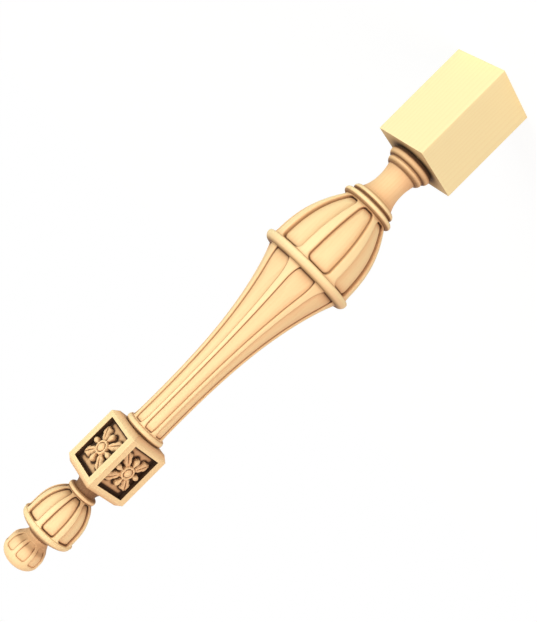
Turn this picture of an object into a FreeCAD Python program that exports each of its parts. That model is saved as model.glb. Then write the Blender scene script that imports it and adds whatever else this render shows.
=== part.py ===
import FreeCAD, Part
import math
import os

# A carved stair baluster, turned and carved from one square length of timber.
# It stands on its plain square block: z = 0 is the block's end face and +Z runs
# up the baluster's axis to the bun at its top. Millimetres and degrees.

V = FreeCAD.Vector

# The square stock that is left plain, and the square block that is carved.
block_width = 92.0
block_length = 150.0
cube_width = 71.0
cube_length = 93.2
cube_end_bevel = 6.1
cube_end_bevel_length = 6.8

# Foot of the turning: a half-round, a square fillet, a quarter-round and a neck.
foot_round_radius = 33.9
foot_round_seat = 26.0
foot_round_length = 14.3
foot_fillet_radius = 28.3
foot_fillet_length = 2.3
foot_ovolo_radius = 28.0
foot_ovolo_length = 6.4
foot_ovolo_step = 1.4
neck_foot_radius = 23.5
neck_waist_radius = 20.4
neck_waist_height = 20.6
neck_top_radius = 27.4
neck_length = 49.6

# Two rings under the big bulb, with a cut groove between them.
neck_ring_seat = 29.8
neck_ring_radius = 34.0
neck_ring_length = 7.5
groove_radius = 30.6
groove_length = 3.3
collar_radius = 40.4
collar_length = 9.0

# Big bulb, belly ring and tapering shaft.
bulb_foot_radius = 35.3
bulb_radius = 67.1
bulb_length = 104.7
bulb_swell = 2.5
belly_ring_radius = 72.5
belly_ring_length = 13.4
belly_undercut = 2.4
shaft_foot_radius = 61.0
shaft_slim_radius = 25.0
shaft_length = 288.3
shaft_taper = 3.25
shaft_flare = 1.6
shaft_flare_turn = 16.0
shaft_ring_radius = 30.4
shaft_ring_length = 8.2
shaft_ring_lip = 1.4
cube_gap_radius = 24.6
cube_gap_length = 1.8

# Neck, ring, small bulb and bun above the carved block.
cap_neck_foot_radius = 23.0
cap_neck_radius = 16.6
cap_neck_length = 14.0
cap_ring_radius = 22.3
cap_ring_length = 7.6
small_bulb_foot_radius = 19.9
small_bulb_radius = 40.1
small_bulb_length = 55.0
small_bulb_swell = 3.4
rim_radius = 41.3
rim_rise = 3.4
rim_to_waist = 17.6
rim_turn = 1.7
bun_waist_radius = 18.7
bun_radius = 28.3
bun_rise = 24.5
bun_crown = 25.0
bun_tip_radius = 3.0
bun_side_turn = 1.5
bun_crown_turn = 2.9

# Sunk panels, the same number round every swelling, with ribs left between. A panel's angle is
# what it takes of the circle, and it narrows to the end angle over the turn at each end.
panel_count = 8
carving_turn = -6.5
rib_edge_fall = 0.8
bulb_panel_angle = 33.4
bulb_panel_end_angle = 24.0
bulb_panel_turn = 8.0
bulb_panel_depth = 5.6
bulb_panel_crown = 0.9
shaft_panel_angle = 35.0
shaft_panel_end_angle = 22.0
shaft_panel_turn = 25.0
shaft_panel_depth = 3.2
shaft_panel_crown = 0.4
small_panel_angle = 33.2
small_panel_end_angle = 23.0
small_panel_turn = 5.0
small_panel_depth = 4.0
small_panel_crown = 0.6
bun_panel_angle = 34.0
bun_panel_end_angle = 22.0
bun_panel_turn = 5.0
bun_panel_depth = 1.8
bun_panel_crown = 0.2
bun_panel_fade = 9.0
bun_panel_overrun = 6.0

# Sunk face of the carved block, and the rosette that is left standing in it.
frame_side = 10.2
frame_end = 5.0
recess_depth = 8.7
rosette_hub_radius = 8.9
rosette_ring_tube = 1.6
rosette_ring_drop = 0.3
rosette_button_radius = 4.7
rosette_button_rise = 2.2
leaf_reach = 33.0
leaf_half_width = 7.6
leaf_drop = 1.6
leaf_tip_height = 2.2
leaf_crease = 1.3
leaf_edge_fall = 2.4
leaf_root = 0.2
leaf_root_width = 2.4
leaf_widest = 0.6
leaf_shoulder = 0.86
bud_reach = 22.6
bud_half_width = 4.3
bud_drop = 0.2
bud_tip_height = 5.6
bud_root_width = 1.6
bud_widest = 0.72
bud_ridge = 0.9

root_sink = 1.0
seat_step = 0.4

# Straight cuts that stand for each curve of the outlines. More of them give a rounder part.
ring_flat_count = 3
cove_flat_count = 4
bulb_flat_count = 5
shaft_flat_count = 7
small_bulb_flat_count = 4
bun_flat_count = 5
rim_flat_count = 5
hub_flat_count = 10


def at(radius, height):
    """A point of the turning's outline, drawn in the XZ plane."""
    return V(radius, 0, height)


def line(start, end):
    return Part.LineSegment(start, end).toShape()


def flats(edge, count):
    """Straight cuts that follow a curved edge from its start to its end."""
    points = edge.discretize(count + 1)
    return [line(p, q) for p, q in zip(points, points[1:])]


def arc(start, middle, end, count=None):
    """Round stretch of the outline, through three points."""
    return flats(Part.Arc(start, middle, end).toShape(), count or ring_flat_count)


def curve(points, count=None):
    """Smooth stretch of the outline, through a few points."""
    spline = Part.BSplineCurve()
    spline.interpolate(points)
    return flats(spline.toShape(), count or cove_flat_count)


def chain(points):
    """Straight cuts through points that a formula gives."""
    return [line(p, q) for p, q in zip(points, points[1:])]


def swelling(height, start, length, foot, crown, power):
    """Radius that grows from foot to crown: the gap to crown closes as (1 - s)^power."""
    s = min(max((height - start) / length, 0.0), 1.0)
    return crown - (crown - foot) * (1.0 - s) ** power


def steps(low, high, count):
    return [low + (high - low) * i / (count - 1) for i in range(count)]


# Heights up the axis, each member standing on the one below it.
z_foot = block_length
z_fillet = z_foot + foot_round_length
z_ovolo = z_fillet + foot_fillet_length
z_neck = z_ovolo + foot_ovolo_length
z_neck_ring = z_neck + neck_length
z_groove = z_neck_ring + neck_ring_length
z_collar = z_groove + groove_length
z_bulb = z_collar + collar_length
z_belly = z_bulb + bulb_length
z_shaft = z_belly + belly_ring_length
z_shaft_ring = z_shaft + shaft_length
z_gap = z_shaft_ring + shaft_ring_length
z_cube = z_gap + cube_gap_length
z_cap_neck = z_cube + cube_length
z_cap_ring = z_cap_neck + cap_neck_length
z_small_bulb = z_cap_ring + cap_ring_length
z_rim = z_small_bulb + small_bulb_length
z_rim_crown = z_rim + rim_rise
z_bun_waist = z_rim_crown + rim_to_waist
z_bun = z_bun_waist + bun_rise
z_top = z_bun + bun_crown


def bulb_at(height):
    return swelling(height, z_bulb, bulb_length, bulb_foot_radius, bulb_radius, bulb_swell)


def shaft_at(height):
    """The shaft thins towards its slim end, then flares a little under its ring."""
    s = min(max((height - z_shaft) / shaft_length, 0.0), 1.0)
    taper = (shaft_foot_radius - shaft_slim_radius) * (1.0 - s) ** shaft_taper
    return shaft_slim_radius + taper + shaft_flare * s ** shaft_flare_turn


def small_bulb_at(height):
    return swelling(height, z_small_bulb, small_bulb_length,
                    small_bulb_foot_radius, small_bulb_radius, small_bulb_swell)


def bun_at(height):
    """The bun's side swings out of the waist as a half wave, then closes over its crown."""
    if height <= z_bun:
        s = (z_bun - height) / bun_rise
        return bun_waist_radius + (bun_radius - bun_waist_radius) * (1.0 + math.cos(math.pi * s ** bun_side_turn)) / 2
    s = min((height - z_bun) / bun_crown, 1.0)
    return bun_radius * (1.0 - s ** bun_crown_turn) ** 0.5


def turned(edges):
    """Solid of revolution from an outline that starts and ends on the axis."""
    first = edges[0].Vertexes[0].Point
    last = edges[-1].Vertexes[-1].Point
    low = at(0, first.z)
    high = at(0, last.z)
    outline = Part.Wire([line(low, first)] + edges + chain([last, high, low] if last.x > 0 else [last, low]))
    return Part.Face(outline).revolve(V(0, 0, 0), V(0, 0, 1), 360)


def foot_turning():
    """From the block up to the big bulb: half-round, fillet, quarter-round, neck and rings."""
    round_middle = at(foot_round_radius, z_foot + 0.51 * foot_round_length)
    ovolo_middle = at(0.5 * (foot_ovolo_radius + foot_fillet_radius), z_ovolo + 0.42 * foot_ovolo_length)
    ring_middle = at(neck_ring_radius, z_neck_ring + 0.6 * neck_ring_length)
    collar_middle = at(collar_radius, z_collar + 0.4 * collar_length)
    collar_seat = bulb_foot_radius + seat_step
    waist = at(neck_waist_radius, z_neck + neck_waist_height)
    neck_turn = at(0.5 * (neck_waist_radius + neck_top_radius) + 0.4, z_neck + 0.87 * neck_length)
    neck_top = at(neck_top_radius, z_neck_ring)
    ring_top = at(groove_radius + 1.6, z_groove)
    edges = arc(at(foot_round_seat, z_foot), round_middle, at(foot_fillet_radius, z_fillet))
    edges += chain([at(foot_fillet_radius, z_fillet), at(foot_fillet_radius, z_ovolo)])
    edges += arc(at(foot_fillet_radius, z_ovolo), ovolo_middle, at(neck_foot_radius + foot_ovolo_step, z_neck))
    edges += chain([at(neck_foot_radius + foot_ovolo_step, z_neck), at(neck_foot_radius, z_neck)])
    edges += curve([at(neck_foot_radius, z_neck), waist, neck_turn, neck_top])
    edges += chain([neck_top, at(neck_ring_seat, z_neck_ring)])
    edges += arc(at(neck_ring_seat, z_neck_ring), ring_middle, ring_top)
    edges += chain([ring_top, at(groove_radius, z_groove), at(groove_radius, z_collar), at(collar_seat, z_collar)])
    return turned(edges + arc(at(collar_seat, z_collar), collar_middle, at(collar_seat, z_bulb)))


def belly_ring():
    middle = at(belly_ring_radius, z_belly + 0.48 * belly_ring_length)
    return turned(arc(at(bulb_radius + seat_step, z_belly), middle, at(shaft_foot_radius + belly_undercut, z_shaft), 6))


def shaft_ring():
    """Half-round at the shaft's slim end, and the cut gap under the carved block."""
    seat = at(shaft_at(z_shaft_ring) + seat_step, z_shaft_ring)
    middle = at(shaft_ring_radius, z_shaft_ring + 0.6 * shaft_ring_length)
    lip = at(shaft_ring_radius - shaft_ring_lip, z_gap)
    return turned(arc(seat, middle, lip) + chain([lip, at(cube_gap_radius, z_gap), at(cube_gap_radius, z_cube)]))


def cap_neck():
    """Hollow neck over the carved block, and the ring that carries the small bulb."""
    waist = at(cap_neck_radius, z_cap_neck + 0.78 * cap_neck_length)
    end = at(cap_neck_radius + 0.5, z_cap_ring)
    seat = small_bulb_foot_radius + seat_step
    middle = at(cap_ring_radius, z_cap_ring + 0.5 * cap_ring_length)
    edges = curve([at(cap_neck_foot_radius, z_cap_neck), waist, end]) + chain([end, at(seat, z_cap_ring)])
    return turned(edges + arc(at(seat, z_cap_ring), middle, at(seat, z_small_bulb)))


def rim():
    """Rounded rim of the small bulb, turning under into the bun's waist."""
    crown = at(rim_radius, z_rim_crown)
    drop = rim_radius - bun_waist_radius - seat_step
    fall = []
    for t in steps(0.3, 1.0, rim_flat_count):
        share = (1.0 + math.cos(math.pi * t ** rim_turn)) / 2
        fall.append(at(bun_waist_radius + seat_step + drop * share, z_rim_crown + t * rim_to_waist))
    return turned(arc(at(small_bulb_radius + seat_step, z_rim), crown, fall[0]) + chain(fall))


def bun_crown_cap():
    """Closed top of the bun, above its panels."""
    low = z_bun + bun_panel_overrun
    heights = [low + (z_top - low) * t for t in (0.0, 0.45, 0.78, 0.94)]
    points = [at(bun_at(h) + seat_step, h) for h in heights]
    return turned(chain(points + [at(bun_tip_radius, z_top)]))


def plain_block():
    half = block_width / 2
    return Part.makeBox(block_width, block_width, block_length, V(-half, -half, 0))


def square(half, height):
    corners = [V(-half, -half, height), V(half, -half, height), V(half, half, height), V(-half, half, height)]
    return Part.makePolygon(corners + corners[:1])


def carved_cube():
    """Square block with its two ends bevelled back."""
    half = cube_width / 2
    end = half - cube_end_bevel
    wires = [square(end, z_cube),
             square(half, z_cube + cube_end_bevel_length),
             square(half, z_cap_neck - cube_end_bevel_length),
             square(end, z_cap_neck)]
    return Part.makeLoft(wires, True, True)


def fluted_section(height, radius, angle, depth, crown):
    """Outline of a panelled member across the axis. Each rib has its top on the turning's radius
    and falls a little to its edges; each sunk floor is highest along its middle."""
    corners = []
    pitch = 360.0 / panel_count
    wall = min(0.25 * depth, 1.0) * 180.0 / (math.pi * radius)
    fall = min(rib_edge_fall, 0.3 * depth)
    for i in range(panel_count):
        middle = carving_turn + pitch * i
        for turn, r in ((-pitch / 2, radius), (-angle / 2, radius - fall),
                        (wall - angle / 2, radius - depth), (0.0, radius - depth + crown),
                        (angle / 2 - wall, radius - depth), (angle / 2, radius - fall)):
            a = math.radians(middle + turn)
            corners.append(V(r * math.cos(a), r * math.sin(a), height))
    return Part.makePolygon(corners + corners[:1])


def narrowed(height, low, high, angle, end_angle, turn):
    """Panel angle that eases down to its end angle towards both ends of the member."""
    near = max(min((height - low) / turn, (high - height) / turn, 1.0), 0.0)
    return angle - (angle - end_angle) * (1.0 - near) ** 2


def member_heights(low, high, turn, count):
    """Heights of the sections: the two ends, and even steps between where the panels round in."""
    return [low] + steps(low + turn, high - turn, count) + [high]


def bulb():
    low, high = z_bulb, z_belly
    wires = []
    for h in member_heights(low, high, bulb_panel_turn, bulb_flat_count):
        angle = narrowed(h, low, high, bulb_panel_angle, bulb_panel_end_angle, bulb_panel_turn)
        wires.append(fluted_section(h, bulb_at(h), angle, bulb_panel_depth, bulb_panel_crown))
    return Part.makeLoft(wires, True, True)


def shaft():
    low, high = z_shaft, z_shaft_ring
    wires = []
    for h in member_heights(low, high, shaft_panel_turn, shaft_flat_count):
        angle = narrowed(h, low, high, shaft_panel_angle, shaft_panel_end_angle, shaft_panel_turn)
        wires.append(fluted_section(h, shaft_at(h), angle, shaft_panel_depth, shaft_panel_crown))
    return Part.makeLoft(wires, True, True)


def small_bulb():
    low, high = z_small_bulb, z_rim
    wires = []
    for h in member_heights(low, high, small_panel_turn, small_bulb_flat_count):
        angle = narrowed(h, low, high, small_panel_angle, small_panel_end_angle, small_panel_turn)
        wires.append(fluted_section(h, small_bulb_at(h), angle, small_panel_depth, small_panel_crown))
    return Part.makeLoft(wires, True, True)


def bun():
    """The bun's panels fade out towards its waist and end square above its widest line."""
    low, high = z_bun_waist, z_bun + bun_panel_overrun
    wires = []
    for h in [low] + steps(low + 3.0, high - bun_panel_turn, bun_flat_count) + [high]:
        near = min((high - h) / bun_panel_turn, 1.0)
        angle = bun_panel_angle - (bun_panel_angle - bun_panel_end_angle) * (1.0 - near) ** 2
        depth = max(bun_panel_depth * min((h - low) / bun_panel_fade, 1.0), 0.05)
        wires.append(fluted_section(h, bun_at(h), angle, depth, min(bun_panel_crown, 0.5 * depth)))
    return Part.makeLoft(wires, True, True)


def around(shape, count, turn):
    """Copies of a shape evenly round the axis."""
    copies = []
    for i in range(count):
        copy = shape.copy()
        copy.rotate(V(0, 0, 0), V(0, 0, 1), turn + 360.0 * i / count)
        copies.append(copy)
    return copies


def recess():
    """Straight-sided sinking in the block's +X face."""
    width = cube_width - 2 * frame_side
    length = cube_length - 2 * cube_end_bevel_length - 2 * frame_end
    low = z_cube + cube_end_bevel_length + frame_end
    return Part.makeBox(recess_depth + root_sink, width, length, V(cube_width / 2 - recess_depth, -width / 2, low))


def leaf(reach, root_width, half_width, root_height, tip_height, crease, widest):
    """A carved leaf or bud lying along +Y, with +X out of the sunk floor. It widens to half_width at
    `widest` of its reach and closes to a point while its top bends down from root_height to
    tip_height. A crease above zero sinks its middle line, below zero it stands as a ridge."""
    stations = [(leaf_root, root_width), (widest, half_width), (leaf_shoulder, 0.66 * half_width), (1.0, 0.4)]
    if crease < 0:
        stations.pop(2)
    wires = []
    for s, half in stations:
        top = root_height - (root_height - tip_height) * s ** 2.6
        share = half / half_width
        edge = max(top - leaf_edge_fall * share, 0.4 * top)
        y = s * reach
        lobes = [V(top, y, -half / 2), V(top - crease * share, y, 0), V(top, y, half / 2)]
        if crease < 0:
            lobes = [V(top - crease * share, y, 0)]
        section = [V(-root_sink, y, -half), V(edge, y, -half)] + lobes + [V(edge, y, half), V(-root_sink, y, half)]
        wires.append(Part.makePolygon(section + section[:1]))
    return Part.makeLoft(wires, True, True)


def ngon(height, radius):
    """Regular outline across the rosette's own axis, which is +X."""
    angles = [2.0 * math.pi * i / hub_flat_count for i in range(hub_flat_count)]
    corners = [V(height, radius * math.cos(a), radius * math.sin(a)) for a in angles]
    return Part.makePolygon(corners + corners[:1])


def hub():
    """Round boss of the rosette: a bevelled ring, a groove, and a domed button."""
    top = recess_depth - rosette_ring_drop
    low = top - rosette_ring_tube
    ring = rosette_hub_radius - 0.8 * rosette_ring_tube
    dish = rosette_hub_radius - 1.4 * rosette_ring_tube
    boss = Part.makeLoft([ngon(-root_sink, rosette_hub_radius), ngon(low, rosette_hub_radius), ngon(top, ring)],
                         True, True)
    hollow = Part.makeLoft([ngon(low, rosette_button_radius), ngon(top, dish)], True, True)
    apex = recess_depth + rosette_button_rise
    rise = apex - low
    dome = [ngon(low - root_sink, rosette_button_radius - 0.1)]
    dome += [ngon(low + rise * t, rosette_button_radius * (1.0 - t ** 3) ** 0.5) for t in (0.4, 0.75, 0.97)]
    return boss.cut(hollow).fuse(Part.makeLoft(dome, True, True))


def rosette():
    """Hub, four creased leaves on the diagonals and four pointed buds between them."""
    pieces = [hub()]
    for quarter in range(4):
        blade = leaf(leaf_reach, leaf_root_width, leaf_half_width, recess_depth - leaf_drop, leaf_tip_height,
                     leaf_crease, leaf_widest)
        blade.rotate(V(0, 0, 0), V(1, 0, 0), 45.0 + 90.0 * quarter)
        bud = leaf(bud_reach, bud_root_width, bud_half_width, recess_depth - bud_drop, bud_tip_height,
                   -bud_ridge, bud_widest)
        bud.rotate(V(0, 0, 0), V(1, 0, 0), 90.0 * quarter)
        pieces += [blade, bud]
    flower = pieces[0].fuse(pieces[1:])
    flower.translate(V(cube_width / 2 - recess_depth, 0, (z_cube + z_cap_neck) / 2))
    return flower


def baluster():
    cube = carved_cube().cut(around(recess(), 4, 0))
    cube = cube.fuse(around(rosette(), 4, 0))
    members = [foot_turning(), bulb(), belly_ring(), shaft(), shaft_ring(), cube, cap_neck(), small_bulb(),
               rim(), bun(), bun_crown_cap()]
    return plain_block().fuse(members)


os.makedirs("parts", exist_ok=True)
shape = baluster()
solid = shape.Solids[0]
print("solids", len(shape.Solids), "faces", len(solid.Faces), "valid", solid.isValid())
print("height", round(solid.BoundBox.ZMax, 2), "volume", round(solid.Volume))
solid.exportStep("parts/baluster.step")
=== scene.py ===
# %% [markdown]
# # A carved stair baluster
#
# The real thing is one length of pale timber. A turner cuts the rings, bulbs and the long taper
# on a lathe, and a carver then sinks eight panels round every swelling and leaves a rosette
# standing in each side of the upper block. We follow the same order: first the outline that the
# lathe leaves, then the carving as a depth taken off it, then the timber itself.
#
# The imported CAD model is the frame. It fixes where everything is, and this script gives it the
# finer surface. All sizes below are millimetres, and become metres when a mesh is made.

# %% Load the frame
import math
import bpy
import numpy as np
from mathutils import Matrix, Vector


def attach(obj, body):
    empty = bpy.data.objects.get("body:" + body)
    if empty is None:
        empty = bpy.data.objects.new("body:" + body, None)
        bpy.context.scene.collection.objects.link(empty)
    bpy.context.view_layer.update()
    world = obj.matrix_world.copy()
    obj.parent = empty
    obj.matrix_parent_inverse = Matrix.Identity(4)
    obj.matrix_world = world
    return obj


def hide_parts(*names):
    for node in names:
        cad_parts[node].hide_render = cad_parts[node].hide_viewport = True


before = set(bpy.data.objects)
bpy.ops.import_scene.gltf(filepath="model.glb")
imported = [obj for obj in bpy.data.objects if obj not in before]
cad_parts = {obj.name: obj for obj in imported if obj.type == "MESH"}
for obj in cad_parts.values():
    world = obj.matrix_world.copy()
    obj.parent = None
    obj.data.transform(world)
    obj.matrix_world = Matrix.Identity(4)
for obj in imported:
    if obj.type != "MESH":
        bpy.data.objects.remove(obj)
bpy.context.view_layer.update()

# %% [markdown]
# ## Heights up the axis
#
# A turner marks the members along the blank with a story stick: one list of lengths, each member
# standing on the one below. We keep the same list, so that one length can change without
# touching the others.

# %% Mark out the members
MM = 0.001
BLOCK_WIDTH = 92.0
CUBE_WIDTH = 71.0
member_lengths = {
    "plain_block": 150.0,
    "foot_round": 14.3,
    "foot_fillet": 2.3,
    "foot_ovolo": 6.4,
    "neck": 49.6,
    "neck_ring": 7.5,
    "groove": 3.3,
    "collar": 9.0,
    "big_bulb": 104.7,
    "belly_ring": 13.4,
    "shaft": 288.3,
    "shaft_ring": 8.2,
    "cube_gap": 1.8,
    "cube": 93.2,
    "cap_neck": 14.0,
    "cap_ring": 7.6,
    "small_bulb": 56.8,
    "rim_lip": 1.6,
    "rim_fall": 17.6,
    "bun_side": 24.5,
    "bun_crown": 25.0,
}
tops = np.cumsum(list(member_lengths.values()))
low = dict(zip(member_lengths, tops - np.array(list(member_lengths.values()))))
high = dict(zip(member_lengths, tops))

# %% [markdown]
# ## The lathe's outline
#
# Every turned member is a radius that changes with height. Three kinds of cut make the plain
# ones, all but the rim's fall: a bead (half-round), a power curve that runs quickly at one end
# and slowly at the other, and a straight fillet. Each function below returns two arrays, heights
# and radii, so the cuts can be laid end to end like the strokes of a chisel.

# %% The turner's cuts
FOOT_SEAT = 28.3
# Each bead's radius at its lower seat, at its upper seat and halfway round its curve.
bead_radii = {
    "foot_round": (FOOT_SEAT, FOOT_SEAT, 33.9),
    "foot_ovolo": (FOOT_SEAT, 24.9, 28.1),
    "neck_ring": (29.8, 31.8, 34.0),
    "collar": (36.6, 36.0, 40.6),
    "belly_ring": (67.2, 63.2, 71.85),
    "shaft_ring": (28.0, 28.8, 30.7),
    "cap_ring": (19.6, 20.2, 22.4),
    "rim_lip": (39.8, 41.1, 41.4),
}


def bead(name, count=22, fullness=1.0):
    """Half-round member: t runs half a circle, the height follows its cosine, and the radius is
    the straight line between the two seats plus its sine times how far the bead stands proud.
    A fullness below one squares the bead's shoulders."""
    r_low, r_high, reach = bead_radii[name]
    t = np.linspace(0.0, np.pi, count)
    s = (1.0 - np.cos(t)) / 2.0
    seat = r_low + (r_high - r_low) * s
    proud = reach - (r_low + r_high) / 2.0
    return low[name] + (high[name] - low[name]) * s, seat + proud * np.sin(t) ** fullness


def sweep(z0, z1, r0, r1, power, count=24):
    """Power curve: the radius leaves r0 slowly and reaches r1 as s to the power."""
    s = np.linspace(0.0, 1.0, count)
    return z0 + (z1 - z0) * s, r0 + (r1 - r0) * s ** power


def fillet(z0, z1, r0, r1):
    """Straight cut from one height and radius to another."""
    return np.array([z0, z1]), np.array([r0, r1])


def flipped(cut):
    """The same cut listed from its other end."""
    return cut[0][::-1], cut[1][::-1]


def joined(*cuts):
    """Cuts laid end to end as one outline."""
    return np.concatenate([c[0] for c in cuts]), np.concatenate([c[1] for c in cuts])


# %% Radii of the panelled members
BULB_WIDE = 67.1
BULB_DRAWN_IN = 31.8
BULB_POWER = 2.5
SHAFT_SLIM = 25.9
SHAFT_TAPER = 35.1
SHAFT_POWER = 3.1
SHAFT_FLARE = 0.7
FLARE_POWER = 16
SMALL_WIDE = 40.1
SMALL_DRAWN_IN = 20.2
SMALL_POWER = 3.4
WAIST = 17.2
BUN_WIDE = 28.3
BUN_SWING = 11.1
BUN_SWING_POWER = 1.35
BUN_DOME_POWER = 2.9


def bulb_radius(z):
    """Big bulb: its widest less what (1 - s) to a power draws in, s from 0 to 1 up the member."""
    s = np.clip((z - low["big_bulb"]) / member_lengths["big_bulb"], 0.0, 1.0)
    return BULB_WIDE - BULB_DRAWN_IN * (1.0 - s) ** BULB_POWER


def shaft_radius(z):
    """Shaft: its slimmest plus a fast taper, and a slight flare near its upper end."""
    s = np.clip((z - low["shaft"]) / member_lengths["shaft"], 0.0, 1.0)
    return SHAFT_SLIM + SHAFT_TAPER * (1.0 - s) ** SHAFT_POWER + SHAFT_FLARE * s ** FLARE_POWER


def small_bulb_radius(z):
    """Small bulb: the same kind of curve as the big bulb's."""
    s = np.clip((z - low["small_bulb"]) / member_lengths["small_bulb"], 0.0, 1.0)
    return SMALL_WIDE - SMALL_DRAWN_IN * (1.0 - s) ** SMALL_POWER


def bun_radius(z):
    """Bun: swings out of the waist as half a cosine wave, then closes as a squarish dome."""
    s = np.clip((low["bun_crown"] - z) / member_lengths["bun_side"], 0.0, 1.0)
    t = np.clip((z - low["bun_crown"]) / member_lengths["bun_crown"], 0.0, 1.0)
    side = WAIST + BUN_SWING * (1.0 + np.cos(np.pi * s ** BUN_SWING_POWER)) / 2.0
    crown = BUN_WIDE * np.sqrt(np.clip(1.0 - t ** BUN_DOME_POWER, 0.0, 1.0))
    return np.where(z < low["bun_crown"], side, crown)


print("bulb", bulb_radius(low["big_bulb"]), "to", bulb_radius(high["big_bulb"]), "mm")

# %% Outlines of the plain turnings
NECK_SLIM = 20.4
NECK_WAIST = low["neck"] + 20.6
CAP_SLIM = 16.7
CAP_WAIST = low["cap_neck"] + 0.78 * member_lengths["cap_neck"]
GAP_RADIUS = 24.6
BELLY_FULLNESS = 0.85
RIM_OVERHANG = 23.9
RIM_POWER = 1.65
foot_outline = joined(
    bead("foot_round"),
    fillet(low["foot_fillet"] + 0.2, high["foot_fillet"] - 0.1, FOOT_SEAT, FOOT_SEAT),
    bead("foot_ovolo"),
    flipped(sweep(NECK_WAIST, low["neck"] + 0.05, NECK_SLIM, 23.5, 2.0)),
    sweep(NECK_WAIST, high["neck"], NECK_SLIM, 27.4, 2.3),
    bead("neck_ring"),
    fillet(low["groove"] + 0.2, high["groove"] - 0.1, 30.8, 30.6),
    bead("collar"),
)
belly_outline = bead("belly_ring", 32, BELLY_FULLNESS)
shaft_ring_outline = joined(
    bead("shaft_ring"),
    fillet(low["cube_gap"] + 0.1, high["cube_gap"], GAP_RADIUS, GAP_RADIUS),
)
cap_outline = joined(
    flipped(sweep(CAP_WAIST, low["cap_neck"], CAP_SLIM, 23.0, 1.8)),
    sweep(CAP_WAIST, high["cap_neck"], CAP_SLIM, 17.6, 2.0, 8),
    bead("cap_ring"),
)
# The rim falls to the waist as half a cosine wave, slowly at first.
fall = np.linspace(0.0, 1.0, 34)[1:]
fall_z = low["rim_fall"] + member_lengths["rim_fall"] * fall
fall_r = WAIST + RIM_OVERHANG * (1.0 + np.cos(np.pi * fall ** RIM_POWER)) / 2.0
rim_outline = joined(bead("rim_lip", 10), (fall_z, fall_r))
plain_outlines = (foot_outline, belly_outline, shaft_ring_outline, cap_outline, rim_outline)
print("points in the plain turnings", [len(outline[0]) for outline in plain_outlines])

# %% [markdown]
# ## Where shade gathers
#
# The shade that falls in the hollows of a carving is painted into the timber's colour, and so is a
# highlight on its crests. A simple way to find both places is to blur the surface and compare: what
# lies below its blurred self is a hollow, and what stands above it is a crest.
#
# A blur can't tell a wide dip from a deep cut, so there is a second measure: how much of the sky
# a groove's sides shut out. The third is the lee, how far the surface is turned up the axis, as
# it is on the upper side of a ring; it takes painted shade too. We measure the whole outline at
# once, so a seat between two members knows about both of them.

# %% Hollows and crests along the outline
def blur_weights(x, width):
    """Rows of normalised bell weights: each point's neighbours count by distance and spacing."""
    share = np.gradient(x)
    w = np.exp(-0.5 * ((x[:, None] - x[None, :]) / width) ** 2) * share[None, :]
    return w / w.sum(axis=1, keepdims=True)


def even(outline_z, outline_r, z):
    """Radius of an outline at evenly spaced heights."""
    order = np.argsort(outline_z, kind="stable")
    return np.interp(z, outline_z[order], outline_r[order])


# The two square blocks stand in the outline as rounds of about the same width.
cube_outline = joined(fillet(low["cube"] + 0.1, low["cube"] + 6.7, 31.0, 38.0),
                      fillet(high["cube"] - 6.7, high["cube"] - 0.1, 38.0, 31.0))
block_outline = fillet(0.0, high["plain_block"] - 0.1, 50.0, 50.0)
bulb_rows = np.linspace(low["big_bulb"] + 0.3, high["big_bulb"] - 0.3, 60)
shaft_rows = np.linspace(low["shaft"] + 0.3, high["shaft"] - 0.3, 120)
small_rows = np.linspace(low["small_bulb"] + 0.3, high["small_bulb"] - 0.3, 50)
bun_rows = np.linspace(low["bun_side"], high["bun_crown"], 60)
whole = joined(
    block_outline, foot_outline, (bulb_rows, bulb_radius(bulb_rows)), belly_outline,
    (shaft_rows, shaft_radius(shaft_rows)), shaft_ring_outline, cube_outline, cap_outline,
    (small_rows, small_bulb_radius(small_rows)), rim_outline, (bun_rows, bun_radius(bun_rows)),
)
story_z = np.linspace(0.0, float(tops[-1]), 2400)
story_r = even(whole[0], whole[1], story_z)
NEAR_BLUR = 1.8
WIDE_BLUR = 6.0
SLOPE_BLUR = 0.7
SKY_REACH = 70.0
OPEN_SKY = -1.5
story_near = blur_weights(story_z, NEAR_BLUR) @ story_r - story_r
story_wide = blur_weights(story_z, WIDE_BLUR) @ story_r - story_r


def shut_in(z, r, reach):
    """Sky shut out, and lee. The steepest rise each way within reach, measured from the
    surface's own slope, takes one less its cosine of that half of the sky. The lee is the slope
    where the radius shrinks with height, as a share of a right angle."""
    slope = np.arctan(np.gradient(blur_weights(z, SLOPE_BLUR) @ r, z))
    run = z[None, :] - z[:, None]
    rise = r[None, :] - r[:, None]
    angle = np.arctan2(rise, np.abs(run) + 0.2)
    above = np.where((run > 0.0) & (run < reach), angle, OPEN_SKY).max(axis=1) - slope
    below = np.where((run < 0.0) & (run > -reach), angle, OPEN_SKY).max(axis=1) + slope
    shut = [1.0 - np.cos(np.clip(side, 0.0, np.pi / 2.0)) for side in (above, below)]
    return (shut[0] + shut[1]) / 2.0, np.clip(-slope / (np.pi / 2.0), 0.0, 1.0)


story_shut, story_lee = shut_in(story_z, story_r, SKY_REACH)
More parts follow.
